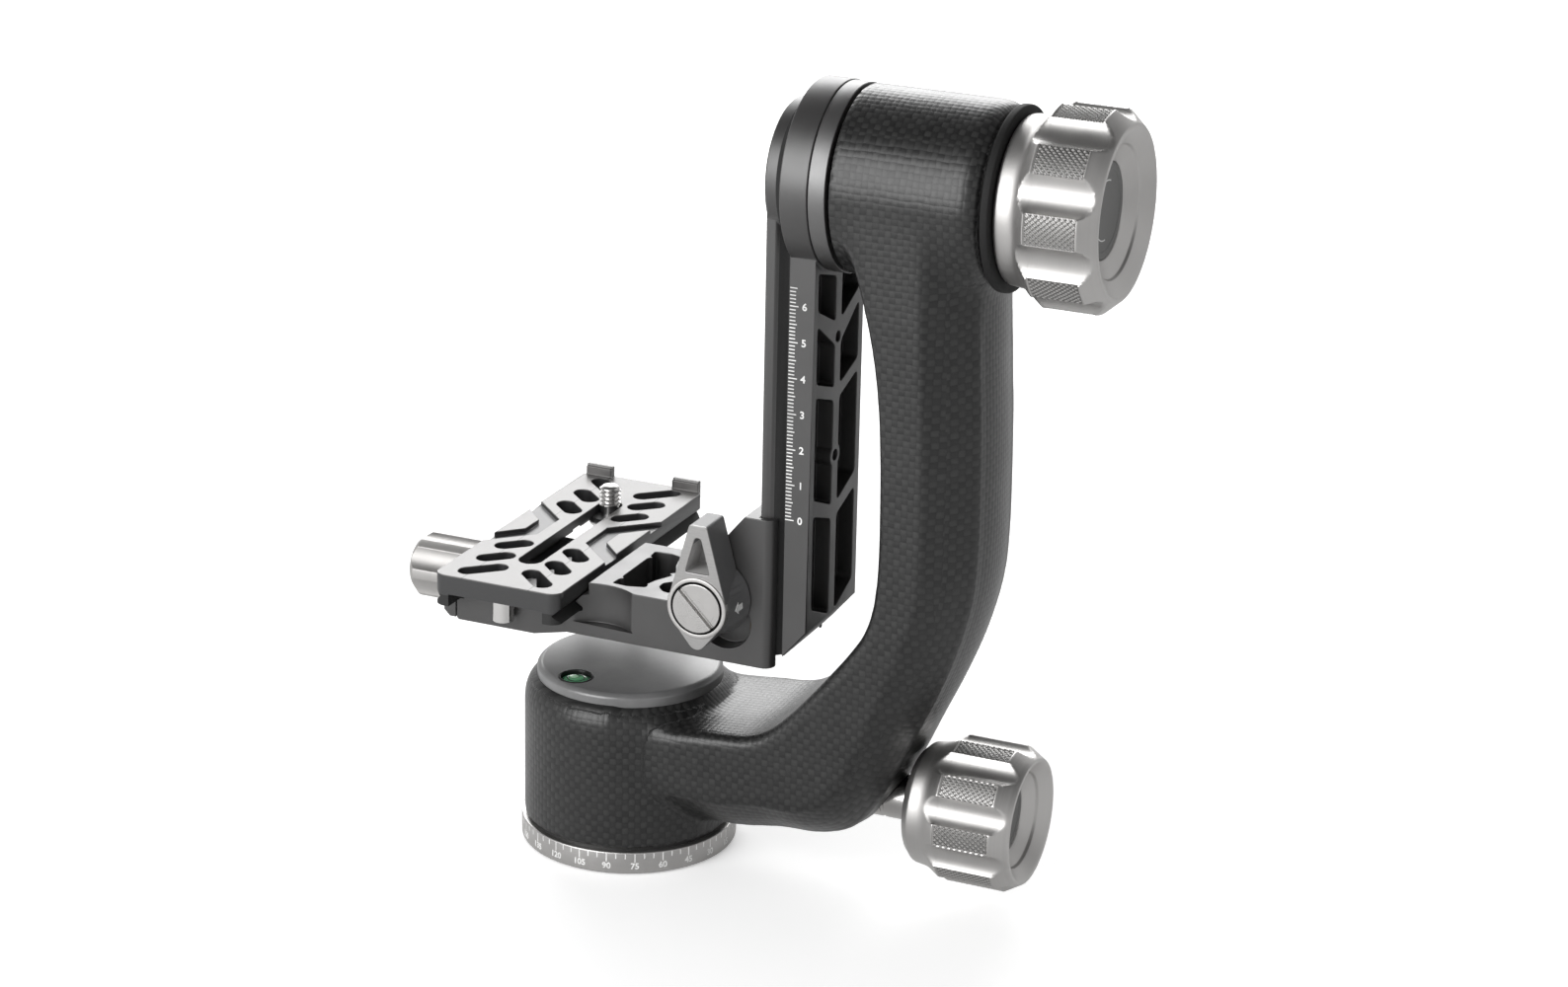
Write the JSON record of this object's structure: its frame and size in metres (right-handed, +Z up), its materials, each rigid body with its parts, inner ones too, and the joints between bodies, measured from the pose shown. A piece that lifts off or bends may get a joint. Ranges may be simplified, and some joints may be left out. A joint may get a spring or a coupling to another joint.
{
  "type": "gimbal tripod head",
  "caption": "Gimbal tripod head: panning base, C-shaped carbon arm, swinging rail, height-adjustable cradle with quick-release plate, and knobs that lock pan and tilt.",
  "frame": {"origin": "centre of the tripod thread's mouth, on the base ring's underside", "axes": "+Z up along the pan axis, +X from the pan axis towards the pan and tilt lock knobs, tilt axis along X"},
  "size_m": [0.2072, 0.0947, 0.2286],
  "materials": {
    "carbon": "satin woven carbon fibre",
    "black_anodised": "bead-blasted black anodised",
    "graphite_anodised": "satin dark grey anodised",
    "satin_silver": "satin clear anodised, knurled and fluted",
    "polished_steel": "polished",
    "bearing_steel": "ground",
    "dark_steel": "black oxide",
    "brass": "turned",
    "black_plastic": "satin moulded",
    "rubber": "matte",
    "grey_disc": "satin dark grey",
    "green_vial": "clear green"
  },
  "bodies": {
    "base": {"pan_base_ring": "satin_silver", "tripod_thread_bush": "polished_steel", "base_screws": "dark_steel", "pan_spindle": "bearing_steel", "pan_friction_washer": "rubber", "pan_bearing_inner_rings": "bearing_steel", "pan_retaining_nut": "dark_steel"},
    "arm": {"arm_shell": "carbon", "pan_bearing_outer_rings": "bearing_steel", "pan_bearing_balls": "polished_steel", "pan_cap": "black_plastic", "level_well": "black_plastic", "level_vial": "green_vial", "pan_brake_shoe": "brass", "pan_lock_bush": "brass", "tilt_bearing_outer_rings": "bearing_steel", "tilt_bearing_balls": "polished_steel", "tilt_brake_pad": "brass", "tilt_lock_bush": "brass", "tilt_seal_ring": "rubber"},
    "pan_lock": {"pan_lock_shaft": "polished_steel", "pan_lock_oring": "rubber", "pan_knob": "satin_silver", "pan_knob_disc": "grey_disc"},
    "swing": {"rail": "black_anodised", "tilt_bearing_inner_rings": "bearing_steel", "tilt_spindle": "bearing_steel", "tilt_retaining_nut": "dark_steel", "pivot_disc": "black_anodised", "rail_head_screws": "dark_steel", "rail_stop_strip": "graphite_anodised", "rail_strip_screws": "dark_steel"},
    "tilt_lock": {"tilt_lock_stud": "polished_steel", "tilt_knob": "satin_silver", "tilt_knob_disc": "grey_disc"},
    "cradle": {"cradle_bracket": "black_anodised", "height_gib": "brass", "height_push_pin": "bearing_steel"},
    "lever": {"height_lever": "graphite_anodised", "height_cam_shaft": "bearing_steel", "lever_screw_cap": "satin_silver"},
    "jaw": {"clamp_jaw": "black_anodised", "jaw_guide_pins": "polished_steel"},
    "clamp_knob": {"clamp_knob": "satin_silver", "clamp_screw": "polished_steel"},
    "plate": {"quick_release_plate": "graphite_anodised", "plate_stop_pins": "polished_steel"},
    "screw_slider": {"camera_screw_washer": "black_plastic"},
    "camera_screw": {"camera_screw": "polished_steel"}
  },
  "joints": [
    {"name": "pan", "type": "hinge", "parent": "base", "child": "arm", "pos_m": [0, 0, 0.03], "axis": [0, 0, 1], "continuous": true},
    {"name": "tilt", "type": "hinge", "parent": "arm", "child": "swing", "pos_m": [0.0875, 0, 0.20155], "axis": [1, 0, 0], "continuous": true},
    {"name": "pan_lock_turn", "type": "hinge", "parent": "arm", "child": "pan_lock", "pos_m": [0.089, 0, 0.0269], "axis": [1, 0, 0], "range_deg": [0, 270]},
    {"name": "tilt_lock_turn", "type": "hinge", "parent": "arm", "child": "tilt_lock", "pos_m": [0.112, 0, 0.20155], "axis": [1, 0, 0], "range_deg": [0, 270]},
    {"name": "height", "type": "slide", "parent": "swing", "child": "cradle", "axis": [0, 0, 1], "range_m": [0, 0.06]},
    {"name": "height_lever_turn", "type": "hinge", "parent": "cradle", "child": "lever", "pos_m": [0.0344, -0.0245, 0.0847], "axis": [0, 1, 0], "range_deg": [-90, 0]},
    {"name": "jaw_slide", "type": "slide", "parent": "cradle", "child": "jaw", "axis": [-1, 0, 0], "range_m": [0, 0.004]},
    {"name": "clamp_knob_turn", "type": "hinge", "parent": "jaw", "child": "clamp_knob", "pos_m": [-0.055, 0, 0.0702], "axis": [-1, 0, 0], "range_deg": [0, 1441]},
    {"name": "plate_slide", "type": "slide", "parent": "cradle", "child": "plate", "axis": [0, 1, 0], "range_m": [-0.0301, 0]},
    {"name": "camera_screw_slide", "type": "slide", "parent": "plate", "child": "screw_slider", "axis": [0, 1, 0], "range_m": [-0.0495, 0]},
    {"name": "camera_screw_turn", "type": "hinge", "parent": "screw_slider", "child": "camera_screw", "pos_m": [-0.02605, 0.03948, 0.08], "axis": [0, 0, 1], "continuous": true}
  ],
  "couplings": [
    {"joint": "clamp_knob_turn", "follows": "jaw_slide", "rad_per_m": 6283.2}
  ]
}
